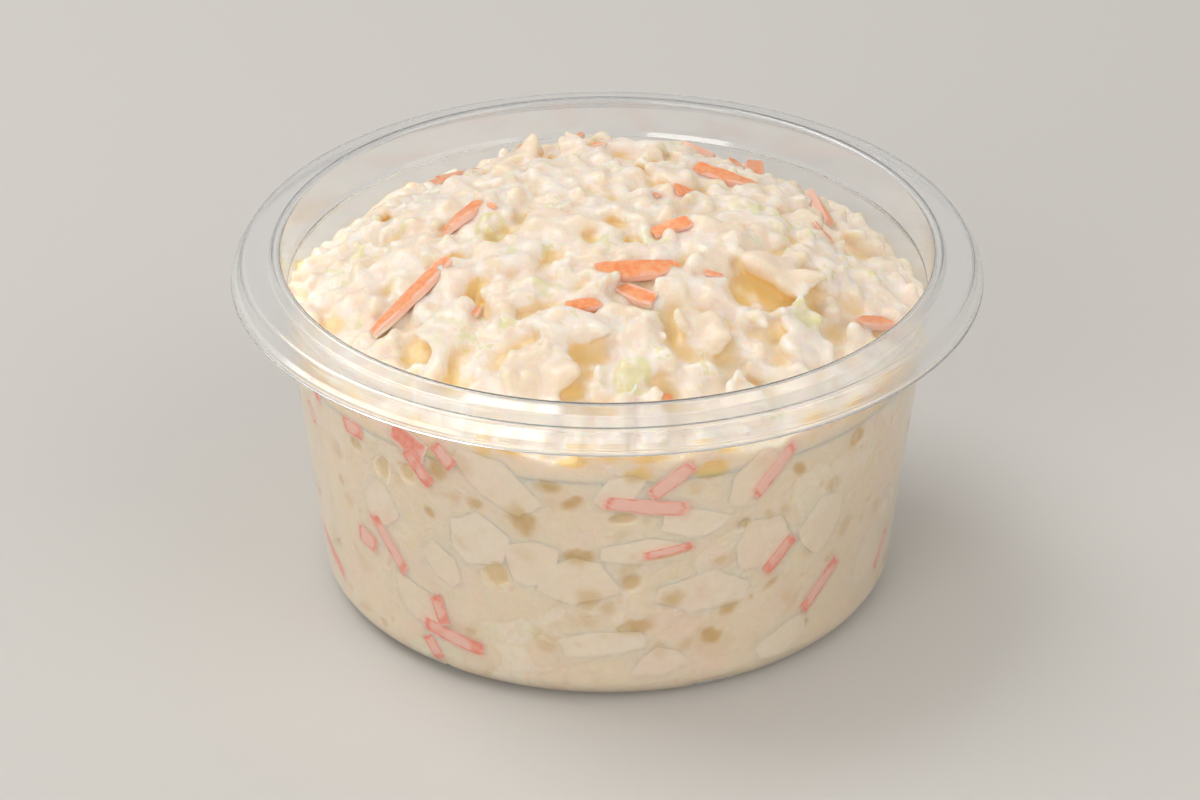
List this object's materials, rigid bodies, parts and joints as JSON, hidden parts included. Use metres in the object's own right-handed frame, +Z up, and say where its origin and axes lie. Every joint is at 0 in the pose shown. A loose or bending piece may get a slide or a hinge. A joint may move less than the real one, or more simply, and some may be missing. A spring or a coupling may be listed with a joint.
{
  "type": "coleslaw in a deli cup",
  "caption": "Creamy chopped coleslaw with carrot strips, heaped above the rim of a round clear plastic deli cup with a tapered wall and a skirted rim.",
  "frame": {"origin": "centre of the cup's flat base, on the surface that it stands on", "axes": "+Z up along the cup's axis; -Y towards the side that the picture shows, +X to its right"},
  "size_m": [0.129, 0.129, 0.0696],
  "materials": {
    "clear_plastic": "clear colourless plastic sheet, smooth and glossy",
    "coleslaw": "cabbage and carrot coated in cream-coloured dressing, moist satin"
  },
  "bodies": {
    "root": {"cup": "clear_plastic", "cup_rim": "clear_plastic", "coleslaw": "coleslaw"}
  },
  "joints": []
}
